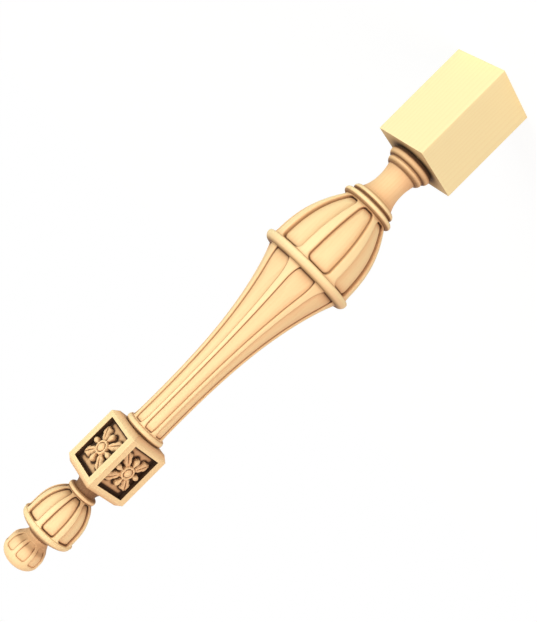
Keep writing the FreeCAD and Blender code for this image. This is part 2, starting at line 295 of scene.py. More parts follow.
# The most painted shade that shut-out sky may give at each height: dark in the foot's seat and in
# the small neck over the carved block, lighter along the rest.
shade_limits = (
    (high["foot_round"], 0.95), (low["foot_ovolo"], 0.30), (high["cube"] - 2.0, 0.30),
    (high["cube"], 0.62), (low["cap_ring"] + 1.0, 0.62), (high["cap_ring"], 0.36),
)
deepest = np.interp(story_z, *zip(*shade_limits))
# Painted shade: in grooves, in wide dips, where the sky is shut out, and on faces turned up.
near_shade = 0.14 * np.clip(story_near / 2.2, 0.0, 1.0)
wide_shade = 0.22 * np.clip(story_wide / 6.0, 0.0, 1.0)
shut_shade = np.minimum(4.0 * story_shut ** 1.8, deepest)
lee_shade = np.minimum(0.44 * story_lee * (1.0 + np.minimum(6.0 * story_shut, 1.0)), 0.36)
FOOT_DARKEST = 0.95
DARKEST = 0.74
darkest = np.where(story_z < high["foot_round"], FOOT_DARKEST, DARKEST)
story_hollow = np.minimum(near_shade + wide_shade + shut_shade + lee_shade, darkest)
# Painted highlight on the crests of the outline.
near_crest = 0.6 * np.clip(-story_near / 0.9, 0.0, 1.0)
wide_crest = 0.6 * np.clip(-story_wide / 3.0, 0.0, 1.0)
story_crest = near_crest + wide_crest
print("deepest hollow at", round(float(story_z[np.argmax(story_hollow)])), "mm up")

# %% [markdown]
# ## Making a mesh from a grid
#
# Each piece is a sheet of points, rows up the axis and columns round it. Rolled into a tube and
# closed by a disc at each end it is a solid skin with its faces outwards. The painted shade of the
# hollows and the painted highlight of the crests ride along as two numbers at each point, and the
# timber material reads them.

# %% Grid to mesh
def tube(name, points, hollow, crest):
    """Closed skin from points[row, column, xyz] that wrap round the axis."""
    rows, columns = points.shape[:2]
    index = np.arange(rows * columns).reshape(rows, columns)
    a = index[:-1]
    b = np.roll(index, -1, axis=1)[:-1]
    c = np.roll(index, -1, axis=1)[1:]
    d = index[1:]
    quads = np.stack([a, b, c, d], axis=-1).reshape(-1, 4)
    centres = np.array([[0.0, 0.0, points[0, 0, 2]], [0.0, 0.0, points[-1, 0, 2]]])
    foot, head = rows * columns, rows * columns + 1
    ring_low, ring_high = index[0], index[-1]
    fan_low = np.stack([np.roll(ring_low, -1), ring_low, np.full(columns, foot)], axis=-1)
    fan_high = np.stack([ring_high, np.roll(ring_high, -1), np.full(columns, head)], axis=-1)
    vertices = np.concatenate([points.reshape(-1, 3), centres]) * MM
    mesh = bpy.data.meshes.new(name)
    mesh.from_pydata(vertices.tolist(), [], quads.tolist() + fan_low.tolist() + fan_high.tolist())
    # Painted shade and painted highlight stored on each point as two attributes.
    for label, values in (("hollow", hollow), ("crest", crest)):
        layer = mesh.attributes.new(label, "FLOAT", "POINT")
        layer.data.foreach_set("value", np.concatenate([np.clip(values, 0.0, 1.0).ravel(), [0.0, 0.0]]))
    mesh.shade_smooth()
    mesh.set_sharp_from_angle(angle=math.radians(38.0))
    piece = bpy.data.objects.new(name, mesh)
    bpy.context.scene.collection.objects.link(piece)
    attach(piece, "root")
    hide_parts("baluster")
    print(name, len(quads) * 2 + 2 * columns, "triangles")
    return piece


def along_story(z):
    """Painted shade and painted highlight of the turned outline at these heights."""
    return np.interp(z, story_z, story_hollow), np.interp(z, story_z, story_crest)


# %% Plain turnings
def turned(name, outline, columns=160):
    """Radius spun round the axis."""
    z, r = outline
    theta = np.linspace(0.0, 2.0 * np.pi, columns, endpoint=False)
    radius = r[:, None]
    height = np.repeat(z[:, None], columns, 1)
    points = np.stack([radius * np.cos(theta), radius * np.sin(theta), height], -1)
    hollow, crest = along_story(z)
    return tube(name, points, np.repeat(hollow[:, None], columns, 1), np.repeat(crest[:, None], columns, 1))


timber_pieces = [
    turned("foot_turning", foot_outline),
    turned("belly_ring", belly_outline, 224),
    turned("shaft_ring", shaft_ring_outline),
    turned("cap_turning", cap_outline),
    turned("rim_and_waist", rim_outline),
]

# %% [markdown]
# ## Sunk panels
#
# The carver draws eight panels round the swelling, stabs in their outline, and lowers the ground
# inside it, so that ribs are left between. Cut with a boolean, such a panel has hard, even edges.
# Worked out as a depth instead, the rib can round over, the wall can lean a little and the ground
# can swell gently in its middle, as a gouge leaves it.
#
# The depth depends on one number, the distance from the panel's outline. The grid's columns
# follow that outline too, crowded together at the wall, so the edge stays crisp.

# %% Panel outline and section
PANELS = 8
CARVING_TURN = math.radians(-6.5)
PITCH = 2.0 * math.pi / PANELS


def panel_distance(across, side, z, panel):
    """Distance inside the outline, a rounded box. Near a corner it is the corner's radius less
    the way to its centre, squeezed along the axis where the corner is longer than it is wide."""
    lower = z < (panel["low"] + panel["high"]) / 2.0
    end = np.where(lower, z - panel["low"], panel["high"] - z)
    inset = np.where(lower, panel["low_inset"], panel["high_inset"])
    squeeze = inset / np.where(lower, panel["low_turn"], panel["high_turn"])
    qa = inset - (side - np.abs(across))
    qz = inset - end * squeeze
    corner = (qa > 0.0) & (qz > 0.0)
    reach = np.hypot(qa, qz)
    inside = np.where(corner, inset - reach, inset - np.maximum(qa, qz))
    na = np.where(corner, qa / np.maximum(reach, 1e-6), qa >= qz)
    nz = np.where(corner, qz / np.maximum(reach, 1e-6), qa < qz)
    return inside / np.hypot(na, nz * squeeze)


def outline_side(side, z, panel):
    """Half width of the panel at each height, with its corners drawn in."""
    lower = z < (panel["low"] + panel["high"]) / 2.0
    end = np.clip(np.where(lower, z - panel["low"], panel["high"] - z), 0.0, None)
    inset = np.where(lower, panel["low_inset"], panel["high_inset"])
    squeeze = inset / np.where(lower, panel["low_turn"], panel["high_turn"])
    gap = np.clip(inset - end * squeeze, 0.0, inset)
    return side - (inset - np.sqrt(inset ** 2 - gap ** 2))


def carved_depth(distance, rib, panel):
    """How much the carver takes off: a rounded shoulder outside the outline, a steep wall just
    inside it, and a ground that is deepest at the wall's foot and swells towards its middle."""
    shoulder = np.minimum(panel["shoulder"], rib)
    over = np.clip(1.0 + distance / shoulder, 0.0, 1.0)
    rounded = panel["round"] * (1.0 - np.sqrt(1.0 - np.minimum(over, 1.0) ** 2))
    down = np.clip(distance / panel["wall"], 0.0, 1.0)
    drop = (panel["foot"] - panel["round"]) * (1.0 - np.cos(np.pi * down ** 0.8)) / 2.0
    ground = np.clip(distance - panel["wall"], 0.0, None)
    swell = (panel["foot"] - panel["middle"]) * (1.0 - np.exp(-(ground / panel["swell"]) ** 1.5))
    return np.where(distance < 0.0, rounded, panel["round"] + drop - swell)


# %% Panelled members
def graded(start, end, ends, fine, coarse):
    """Row heights that are close together near both ends and open between them."""
    inner = max(int((end - start - 2 * ends) / coarse), 2)
    outer = int(ends / fine)
    return np.concatenate([np.linspace(start, start + ends, outer, endpoint=False),
                           np.linspace(start + ends, end - ends, inner, endpoint=False),
                           np.linspace(end - ends, end, outer + 1)])


def panelled(name, radius_of, rows, panel):
    """Turned member less the carved depth, on columns that follow the panel's outline."""
    r = radius_of(rows)[:, None]
    z = rows[:, None]
    pitch_half = r * PITCH / 2.0
    side = r * math.radians(panel["half_angle"])
    edge = outline_side(side, z, panel)
    inner = edge - np.minimum(panel["dense"], 0.7 * edge)
    outer = edge + np.minimum(0.6 * panel["dense"], 0.6 * (pitch_half - edge))
    over_ground = np.linspace(0.0, 1.0, 8)[:-1]
    over_wall = np.linspace(0.0, 1.0, 12)[:-1]
    over_rib = np.linspace(0.0, 1.0, 5)
    half = np.concatenate([inner * over_ground, inner + (outer - inner) * over_wall,
                           outer + (pitch_half - outer) * over_rib], axis=1)
    across = np.concatenate([-half[:, :0:-1], half[:, :-1]], axis=1)
    distance = panel_distance(across, side, z, panel)
    rib = np.maximum(pitch_half - side, 0.5)
    fade = np.clip((z - panel["fade_from"]) / panel["fade"], 0.0, 1.0) if "fade" in panel else 1.0
    depth = carved_depth(distance, rib, panel) * fade
    # Painted shade: a dark line along the wall's foot, more at the panel's ends and with depth.
    line = np.exp(-((distance - 0.8 * panel["wall"]) / panel["line"]) ** 2)
    line = line * np.where(distance > 0.0, 1.0, 0.55)
    hollow_z, crest_z = along_story(rows)
    sunk = np.clip(depth / panel["foot"], 0.0, 1.0)
    ends = np.minimum(z - panel["low"], panel["high"] - z)
    end_shade = panel["end_ink"] * np.exp(-(np.maximum(ends, 0.0) / panel["end_reach"]) ** 2)
    carved_shade = panel["ink"] * line + end_shade * (distance > 0.0) + 0.10 * sunk
    hollow = hollow_z[:, None] * (0.6 + 0.4 * sunk) + carved_shade * fade
    # Painted highlight on the rib tops and towards the middle of the ground.
    rib_top = 0.7 * np.clip(-distance / (0.5 * rib), 0.0, 1.0)
    ground_top = 0.9 * np.clip(distance / (0.9 * side), 0.0, 1.0) ** 2
    crest = (crest_z[:, None] * (1.0 - sunk) + (rib_top + ground_top) * fade) * panel["lit"]
    angle = across / r
    theta = np.concatenate([CARVING_TURN + PITCH * k + angle for k in range(PANELS)], axis=1)
    radius = np.tile(r - depth, (1, PANELS))
    points = np.stack([radius * np.cos(theta), radius * np.sin(theta), np.broadcast_to(z, radius.shape)], -1)
    return tube(name, points, np.tile(hollow, (1, PANELS)), np.tile(crest, (1, PANELS)))


# Each panel has its ends and half angle, then its corners, an inset across and a turn along the
# axis at each end. The section's depths and widths follow, then the grid's crowding at the wall
# and how much painted shade and painted highlight it takes. The bun's panel also fades out
# towards the waist.
bulb_panel = {
    "low": low["big_bulb"] + 1.2, "high": high["big_bulb"] - 0.3, "half_angle": 16.7,
    "low_inset": 6.0, "low_turn": 9.0, "high_inset": 8.5, "high_turn": 9.0,
    "foot": 6.0, "middle": 4.0, "round": 1.3, "shoulder": 2.8, "wall": 1.1, "swell": 4.5,
    "dense": 3.6, "line": 1.1, "ink": 0.55, "end_ink": 0.0, "end_reach": 3.0, "lit": 1.0,
}
shaft_panel = {
    "low": low["shaft"] - 1.0, "high": high["shaft"] - 1.3, "half_angle": 17.5,
    "low_inset": 7.0, "low_turn": 27.0, "high_inset": 3.0, "high_turn": 14.0,
    "foot": 2.7, "middle": 1.9, "round": 0.7, "shoulder": 2.0, "wall": 0.8, "swell": 2.6,
    "dense": 2.2, "line": 0.7, "ink": 0.5, "end_ink": 0.06, "end_reach": 6.0, "lit": 1.0,
}
small_panel = {
    "low": low["small_bulb"] + 0.8, "high": high["small_bulb"] - 0.1, "half_angle": 16.6,
    "low_inset": 3.0, "low_turn": 5.0, "high_inset": 4.5, "high_turn": 5.0,
    "foot": 4.2, "middle": 3.0, "round": 1.0, "shoulder": 2.0, "wall": 0.9, "swell": 3.0,
    "dense": 2.6, "line": 0.95, "ink": 0.6, "end_ink": 0.15, "end_reach": 2.6, "lit": 1.0,
}
bun_panel = {
    "low": low["bun_side"] + 6.0, "high": low["bun_crown"] + 7.6, "half_angle": 17.0,
    "low_inset": 2.0, "low_turn": 4.0, "high_inset": 4.0, "high_turn": 5.0,
    "foot": 1.9, "middle": 1.4, "round": 0.5, "shoulder": 1.4, "wall": 0.8, "swell": 2.0,
    "dense": 1.8, "line": 0.7, "ink": 0.35, "end_ink": 0.0, "end_reach": 3.0, "lit": 0.25,
    "fade_from": low["bun_side"] + 5.0, "fade": 6.0,
}
bulb_heights = graded(low["big_bulb"], high["big_bulb"], 12.0, 0.4, 1.6)
shaft_heights = graded(low["shaft"], high["shaft"], 10.0, 0.5, 2.4)
small_heights = graded(low["small_bulb"], high["small_bulb"], 8.0, 0.35, 1.1)
bun_heights = np.concatenate([
    graded(low["bun_side"], bun_panel["high"] + 2.0, 9.0, 0.5, 0.9)[:-1],
    high["bun_crown"] - (high["bun_crown"] - bun_panel["high"] - 2.0) * np.linspace(1.0, 0.0, 24)[:-1] ** 2,
    [high["bun_crown"] - 0.01],
])
timber_pieces += [
    panelled("big_bulb", bulb_radius, bulb_heights, bulb_panel),
    panelled("fluted_shaft", shaft_radius, shaft_heights, shaft_panel),
    panelled("small_bulb", small_bulb_radius, small_heights, small_panel),
    panelled("bun", bun_radius, bun_heights, bun_panel),
]

# %% [markdown]
# ## The plain block
#
# The stock's own square, planed and with its edges just eased with a block plane. It is the same
# kind of grid: a rounded square carried up the axis, drawn in slightly at both ends.

# %% Plain block
def rounded_square(half, ease, steps=16):
    """Corner points round a square: each corner is a quarter circle, the sides are divided."""
    turn = np.linspace(0.0, np.pi / 2.0, 5)
    arc_x = half - ease + ease * np.cos(turn)
    arc_y = half - ease + ease * np.sin(turn)
    run = np.linspace(half - ease, -(half - ease), steps + 1)[1:-1]
    x = np.concatenate([arc_x, run])
    y = np.concatenate([arc_y, np.full(len(run), half)])
    quarter = [np.stack([x * c - y * s, x * s + y * c], -1) for c, s in ((1, 0), (0, 1), (-1, 0), (0, -1))]
    return np.concatenate(quarter)


EDGE_EASE = 0.7
BLOCK_ROWS = 16
CORNER_FROM = 62.5
CORNER_BLEND = 2.5
turn = np.linspace(0.0, np.pi / 2.0, 4)
ease_in = EDGE_EASE * (1.0 - np.sin(turn))
ease_up = EDGE_EASE * (1.0 - np.cos(turn))
straight_z = np.linspace(EDGE_EASE, high["plain_block"] - EDGE_EASE, BLOCK_ROWS + 2)[1:-1]
block_z = np.concatenate([ease_up, straight_z, high["plain_block"] - ease_up[::-1]])
block_in = np.concatenate([ease_in, np.zeros(BLOCK_ROWS), ease_in[::-1]])
square = rounded_square(BLOCK_WIDTH / 2.0, EDGE_EASE)
scale = 1.0 - block_in / (BLOCK_WIDTH / 2.0)
block_height = np.broadcast_to(block_z[:, None, None], (len(block_z), len(square), 1))
block_points = np.concatenate([square[None] * scale[:, None, None], block_height], axis=-1)
# The shoulder under the foot: the same square drawn in, ring by ring, to just under the turning.
inward = np.linspace(0.97, FOOT_SEAT / (BLOCK_WIDTH / 2.0) * 0.9, 12)
shoulder = np.concatenate([square[None] * inward[:, None, None],
                           np.full((len(inward), len(square), 1), high["plain_block"])], axis=-1)
block_points = np.concatenate([block_points, shoulder])
from_axis = np.hypot(block_points[..., 0], block_points[..., 1])
corner = np.clip((from_axis - CORNER_FROM) / CORNER_BLEND, 0.0, 1.0)
on_shoulder = block_points[..., 2] > high["plain_block"] - 0.2
# Painted shade on the shoulder fades with the distance from the foot, from its deepest in the seat
# to a light one.
SHOULDER_SHADE = 0.30
SEAT_SHADE = 0.85
SEAT_FADE = 11.0
beyond_foot = np.clip(from_axis - FOOT_SEAT, 0.0, None)
foot_shade = SHOULDER_SHADE + SEAT_SHADE * np.exp(-(beyond_foot / SEAT_FADE) ** 1.3)
# The shoulder takes painted shade round the foot, the block's eased corners a painted highlight.
timber_pieces.append(tube("plain_block", block_points, foot_shade * on_shoulder, corner * ~on_shoulder))

# %% [markdown]
# ## The carved block and its rosettes
#
# Each side of the upper block is sunk to a flat ground with a rosette left standing in it. It is
# relief carving, so every point of a side has one height, and the whole side can be drawn as a
# height map: the frame at full height, the ground at zero, and each leaf as a small hill. Where
# two leaves meet the higher one wins, as it would under a gouge. Four such sides, folded round
# the axis, make the block.

# %% Leaf, bud and boss as heights over the ground
RECESS_DEPTH = 8.7
FRAME_SIDE = 10.2
FRAME_END = 11.8
BEVEL_RISE = 6.8
BEVEL_DRAW = 6.1
LEAF_LENGTH = 33.4
LEAF_HALF = 6.9
BUD_LENGTH = 22.8
RING_EDGE = 10.3
RING_MIDDLE = 8.5
BUTTON_EDGE = 6.0
DISH_HEIGHT = 5.6
cube_half = CUBE_WIDTH / 2.0
recess_half = cube_half - FRAME_SIDE
recess_rise = member_lengths["cube"] / 2.0 - FRAME_END


def smooth(x):
    """Eases from 0 to 1 with no kink at either end."""
    t = np.clip(x, 0.0, 1.0)
    return t * t * (3.0 - 2.0 * t)


def leaf(along, across):
    """Broad leaf. Its half width swells and closes to a point with three lobes a side, its top
    arches up and bends down at the tip, and a vein and a rolled margin shape its section."""
    s = along / LEAF_LENGTH
    inside = np.clip(s, 0.0, 1.0)
    lobes = 1.0 + 0.16 * np.cos(2.0 * np.pi * (inside * 3.1 - 0.35)) * smooth((inside - 0.3) * 4.0)
    half = LEAF_HALF * np.sin(np.pi * inside ** 1.85) ** 0.85 * lobes + 1.0 * (1.0 - inside)
    share = np.abs(across) / np.maximum(half, 0.2)
    top = 7.0 - 1.2 * (1.0 - inside) - 4.6 * inside ** 3.2
    vein = 1.5 * np.exp(-(across / 0.8) ** 2) * smooth((inside - 0.25) * 3.0)
    side_veins = 0.28 * np.sin(2.0 * np.pi * (along - 0.8 * np.abs(across)) / 3.6)
    side_veins = side_veins * smooth(3.0 * share * (1.0 - share))
    belly = 0.9 * np.sin(np.pi * np.clip(share, 0.0, 1.0))
    section = top + belly - vein + side_veins - 3.0 * np.clip(share, 0.0, 1.0) ** 3
    wall = smooth((half - np.abs(across)) / 0.7 + 0.2) * smooth((s - 0.12) * 12.0) * (s < 1.0)
    return section * wall


def bud(along, across):
    """Narrow bud: a drop with a blunt end and a rounded back, nearly level with the frame."""
    s = np.clip(along / BUD_LENGTH, 0.0, 1.0)
    half = 1.5 + 2.6 * smooth((s - 0.50) / 0.26)
    half = half * np.sqrt(np.clip(1.0 - np.clip((s - 0.76) / 0.24, 0.0, 1.0) ** 2.2, 0.0, 1.0))
    share = np.abs(across) / np.maximum(half, 0.15)
    top = 8.3 + 0.5 * smooth((s - 0.4) * 2.5) - 2.2 * np.clip((s - 0.75) / 0.25, 0.0, 1.0) ** 2
    section = top - 2.6 * np.clip(share, 0.0, 1.0) ** 2.4
    wall = smooth((half - np.abs(across)) / 0.6 + 0.2) * (along < BUD_LENGTH)
    return section * wall * smooth((s - 0.15) * 10.0)


def boss(distance):
    """Middle of the flower: a rolled ring, a groove inside it and a round button."""
    ring = 8.8 * smooth((RING_EDGE - distance) / 0.6) - 1.3 * ((distance - RING_MIDDLE) / 1.6) ** 2
    button = 10.9 - 3.2 * (distance / BUTTON_EDGE) ** 2.4
    rolled = np.where(distance < RING_EDGE, np.maximum(ring, DISH_HEIGHT), 0.0)
    return np.where(distance < BUTTON_EDGE, np.maximum(button, DISH_HEIGHT), rolled)


def rosette(a, b):
    """Height of the flower at a across and b up: the highest of its boss, leaves and buds."""
    height = boss(np.hypot(a, b))
    for quarter in range(4):
        turn = math.pi / 2.0 * quarter
        leaf_turn = turn + math.radians(46.0 if quarter % 2 == 0 else 44.0)
        for form, angle in ((leaf, leaf_turn), (bud, turn)):
            along = a * math.cos(angle) + b * math.sin(angle)
            across = -a * math.sin(angle) + b * math.cos(angle)
            height = np.maximum(height, np.where(along > 0.0, form(np.maximum(along, 0.0), across), 0.0))
    return height


# %% One side of the block as a height map
def with_walls(half, wall, inside, outside):
    """Grid lines over a side: even over the sunk ground, a close pair at each wall, few outside."""
    ground = np.linspace(-half + wall, half - wall, inside)
    step = np.array([half, half - 0.04, half - 0.5 * wall])
    edges = np.concatenate([-step, step[::-1]])
    return np.unique(np.round(np.concatenate([ground, edges, outside, -outside]), 5))


WALL_LEAN = 0.35
CUBE_EASE = 0.35
frame_lines = np.array([recess_half + 0.5, recess_half + 3.0, recess_half + 6.0,
                        cube_half - 1.2, cube_half - CUBE_EASE])
side_a = with_walls(recess_half, WALL_LEAN, 100, frame_lines)
rise_half = member_lengths["cube"] / 2.0
bevel_from = rise_half - BEVEL_RISE
rise_lines = np.array([recess_rise + 0.5, recess_rise + 2.5, bevel_from - 0.5, bevel_from,
                       bevel_from + 0.7, rise_half - 3.0, rise_half - 0.6, rise_half])
side_b = with_walls(recess_rise, WALL_LEAN, 138, rise_lines)
A, B = np.meshgrid(side_a, side_b)
into = np.minimum(recess_half - np.abs(A), recess_rise - np.abs(B))
ground_height = RECESS_DEPTH * (1.0 - np.clip(into / WALL_LEAN, 0.0, 1.0))
relief = np.where(into > 0.0, np.maximum(ground_height, rosette(A, B)), RECESS_DEPTH)
SIDE_BLUR = 1.6
GAP_BLUR = 2.6
blur_near = blur_weights(side_b, SIDE_BLUR) @ relief @ blur_weights(side_a, SIDE_BLUR).T
blur_gap = blur_weights(side_b, GAP_BLUR) @ relief @ blur_weights(side_a, GAP_BLUR).T
from_middle = np.hypot(A, B)


def band(middle, width):
    """Bell round the flower's middle, at this distance from it."""
    return np.exp(-((from_middle - middle) / width) ** 2)


# Painted shade between the forms, with depth, beside the walls, between the leaves' roots, in the
# two cuts at the ring's sides, and on the walls themselves.
on_wall = (into > 0.02) & (into < WALL_LEAN + 0.01)
side_hollow = 0.88 * np.clip((blur_gap - relief - 0.1) / 1.5, 0.0, 1.0)
side_hollow += 0.24 * np.clip((blur_near - relief) / 1.5, 0.0, 1.0)
side_hollow += 0.12 + 0.20 * (1.0 - relief / RECESS_DEPTH)
side_hollow += 0.26 * np.exp(-(np.clip(into, 0.0, None) / 2.6) ** 1.3)
side_hollow += 0.45 * band(12.0, 4.5) * np.clip(1.0 - relief / 5.5, 0.0, 1.0)
side_hollow += 0.30 * band(6.4, 0.7) + 0.22 * band(10.8, 0.8)
side_hollow += 0.9 * on_wall
# Painted shade on the frame's bevels, growing towards the block's ends.
bevel_share = np.clip((np.abs(B) - bevel_from) / BEVEL_RISE, 0.0, 1.0)
side_hollow = np.where(into <= 0.0, 0.42 * bevel_share ** 1.5, side_hollow)
# Painted highlight where the relief stands above its blurred self, stronger on the frame.
side_crest = np.clip((relief - blur_near) / 1.6, 0.0, 1.0) * np.where(into <= 0.0, 0.5, 0.3)
print("side map", relief.shape, "highest", round(float(relief.max()), 2), "mm over the ground")

# %% Fold four sides into the carved block
bevel = BEVEL_DRAW * np.clip((np.abs(side_b) - bevel_from) / BEVEL_RISE, 0.0, 1.0)
reach = (cube_half - bevel)[:, None] + (relief - RECESS_DEPTH)
spread = A * ((cube_half - bevel) / cube_half)[:, None]
cube_z = np.broadcast_to((low["cube"] + rise_half + side_b)[:, None], A.shape)
sides = []
for c, s in ((1.0, 0.0), (0.0, 1.0), (-1.0, 0.0), (0.0, -1.0)):
    sides.append(np.stack([reach * c - spread * s, reach * s + spread * c, cube_z], axis=-1))
cube_points = np.concatenate(sides, axis=1)
cube_hollow = np.tile(side_hollow, (1, 4))
cube_crest = np.tile(side_crest, (1, 4))
timber_pieces.append(tube("carved_block", cube_points, cube_hollow, cube_crest))

# %% [markdown]
# ## The timber
#
# Pale, close-grained timber under a thin satin finish. A picture of wood wrapped round the part
# would smear over the carving, so the grain is solid: rings round a pith that lies off to one
# side of the blank, with fine fibres along its length. Every cut then shows the grain that the
# real cut would, long lines on the sides and arcs on the end of the block.
#
# Two effects are node groups, because they could serve any timber: the grain, and the painted
# shade in hollows with the painted highlight on crests.

# %% Colours
def srgb(red, green, blue):
    """Linear colour from the 0 to 255 values that a screen shows."""
    c = np.array([red, green, blue]) / 255.0
    linear = np.where(c <= 0.04045, c / 12.92, ((c + 0.055) / 1.055) ** 2.4)
    return (*linear.tolist(), 1.0)


# Turned colours sit darker and more orange than the planed block's: painted shade on the turning.
TURNED_PALE = srgb(248, 218, 167)
TURNED_LATE = srgb(243, 205, 152)
PLANED_PALE = srgb(247, 231, 180)
PLANED_LATE = srgb(243, 220, 166)
# Cream of the painted highlight, and the ramp of painted shade from none to the deepest.
CREST_CREAM = srgb(250, 230, 176)
HOLLOW_SHADES = ((0.0, (1.0, 1.0, 1.0)), (0.2, (0.93, 0.80, 0.77)), (0.5, (0.55, 0.42, 0.37)),
                 (0.75, (0.24, 0.16, 0.13)), (1.0, (0.045, 0.028, 0.02)))
CREST_SHOW = 0.65


# %% Grain group
def new_group(name, inputs, outputs):
    """Empty shader group with its sockets and its two end nodes."""
    group = bpy.data.node_groups.new(name, "ShaderNodeTree")
    for label, kind, value in inputs:
        socket = group.interface.new_socket(label, in_out="INPUT", socket_type=kind)
        if value is not None:
            socket.default_value = value
    for label, kind in outputs:
        group.interface.new_socket(label, in_out="OUTPUT", socket_type=kind)
    return group, group.nodes.new("NodeGroupInput"), group.nodes.new("NodeGroupOutput")


def node(tree, kind, **settings):
    """A node with its settings; a setting that names an input goes to that socket."""
    made = tree.nodes.new(kind)
    for key, value in settings.items():
        if hasattr(made, key):
            setattr(made, key, value)
        else:
            made.inputs[key].default_value = value
    return made


def math_node(tree, operation, first, second=None, third=None):
    """Arithmetic on sockets or plain numbers."""
    made = tree.nodes.new("ShaderNodeMath")
    made.operation = operation
    for slot, value in enumerate((first, second, third)):
        if value is None:
            continue
        if isinstance(value, (int, float)):
            made.inputs[slot].default_value = value
        else:
            tree.links.new(value, made.inputs[slot])
    return made.outputs[0]


def grain_group():
    """Solid grain: rings by distance from the pith, bent by a slow noise, and long fibres."""
    group, start, end = new_group(
        "solid_grain",
        [("Position", "NodeSocketVector", None), ("Ring spacing", "NodeSocketFloat", 0.0045),
         ("Wander", "NodeSocketFloat", 0.006)],
        [("Rings", "NodeSocketFloat"), ("Fibres", "NodeSocketFloat"), ("Cloud", "NodeSocketFloat")])
    link = group.links.new
    slow = node(group, "ShaderNodeMapping")
    slow.inputs["Scale"].default_value = (1.0, 1.0, 0.18)
    link(start.outputs["Position"], slow.inputs["Vector"])
    bend = node(group, "ShaderNodeTexNoise", Scale=9.0, Detail=2.0)
    link(slow.outputs[0], bend.inputs["Vector"])
    split = node(group, "ShaderNodeSeparateXYZ")
    link(start.outputs["Position"], split.inputs[0])
    dx = math_node(group, "ADD", split.outputs[0], 0.105)
    dy = math_node(group, "ADD", split.outputs[1], -0.062)
    away = math_node(group, "SQRT", math_node(group, "ADD", math_node(group, "MULTIPLY", dx, dx),
                                              math_node(group, "MULTIPLY", dy, dy)))
    bent = math_node(group, "MULTIPLY_ADD", bend.outputs[0], start.outputs["Wander"], away)
    phase = math_node(group, "DIVIDE", bent, start.outputs["Ring spacing"])
    saw = math_node(group, "FRACT", phase)
    late = math_node(group, "POWER", saw, 3.0)
    link(late, end.inputs["Rings"])
    long = node(group, "ShaderNodeMapping")
    long.inputs["Scale"].default_value = (1.0, 1.0, 0.025)
    link(start.outputs["Position"], long.inputs["Vector"])
    fibre = node(group, "ShaderNodeTexNoise", Scale=1300.0, Detail=3.0, Roughness=0.6)
    link(long.outputs[0], fibre.inputs["Vector"])
    link(fibre.outputs[0], end.inputs["Fibres"])
    cloud = node(group, "ShaderNodeTexNoise", Scale=22.0, Detail=3.0)
    link(slow.outputs[0], cloud.inputs["Vector"])
    link(cloud.outputs[0], end.inputs["Cloud"])
    return group


def mix(tree, factor, first, second, kind="MIX"):
    """Colour mix of two sockets or colours."""
    made = tree.nodes.new("ShaderNodeMix")
    made.data_type = "RGBA"
    made.blend_type = kind
    for slot, value in ((0, factor), (6, first), (7, second)):
        if isinstance(value, (int, float, tuple)):
            made.inputs[slot].default_value = value
        else:
            tree.links.new(value, made.inputs[slot])
    return made.outputs[2]


def handled_group():
    """Painted shade in hollows and painted highlight on crests over any colour."""
    group, start, end = new_group(
        "hollow_and_crest",
        [("Color", "NodeSocketColor", None), ("Hollow", "NodeSocketFloat", 0.0),
         ("Crest", "NodeSocketFloat", 0.0), ("Speckle", "NodeSocketFloat", 0.5)],
        [("Color", "NodeSocketColor"), ("Shaded", "NodeSocketFloat")])
    speckled = math_node(group, "MULTIPLY_ADD", start.outputs["Speckle"], 0.4, 0.8)
    shaded = math_node(group, "MULTIPLY", start.outputs["Hollow"], speckled)
    shades = node(group, "ShaderNodeValToRGB")
    ramp = shades.color_ramp
    for place, _ in HOLLOW_SHADES[1:-1]:
        ramp.elements.new(place)
    for element, (place, shade) in zip(ramp.elements, HOLLOW_SHADES):
        element.position = place
        element.color = (*shade, 1.0)
    group.links.new(shaded, shades.inputs[0])
    crest_share = math_node(group, "MULTIPLY", start.outputs["Crest"], CREST_SHOW)
    paled = mix(group, crest_share, start.outputs["Color"], CREST_CREAM)
    finished = mix(group, 1.0, paled, shades.outputs[0], "MULTIPLY")
    group.links.new(finished, end.inputs["Color"])
    group.links.new(shaded, end.inputs["Shaded"])
    return group


solid_grain = grain_group()
hollow_and_crest = handled_group()
print("groups", solid_grain.name, hollow_and_crest.name)

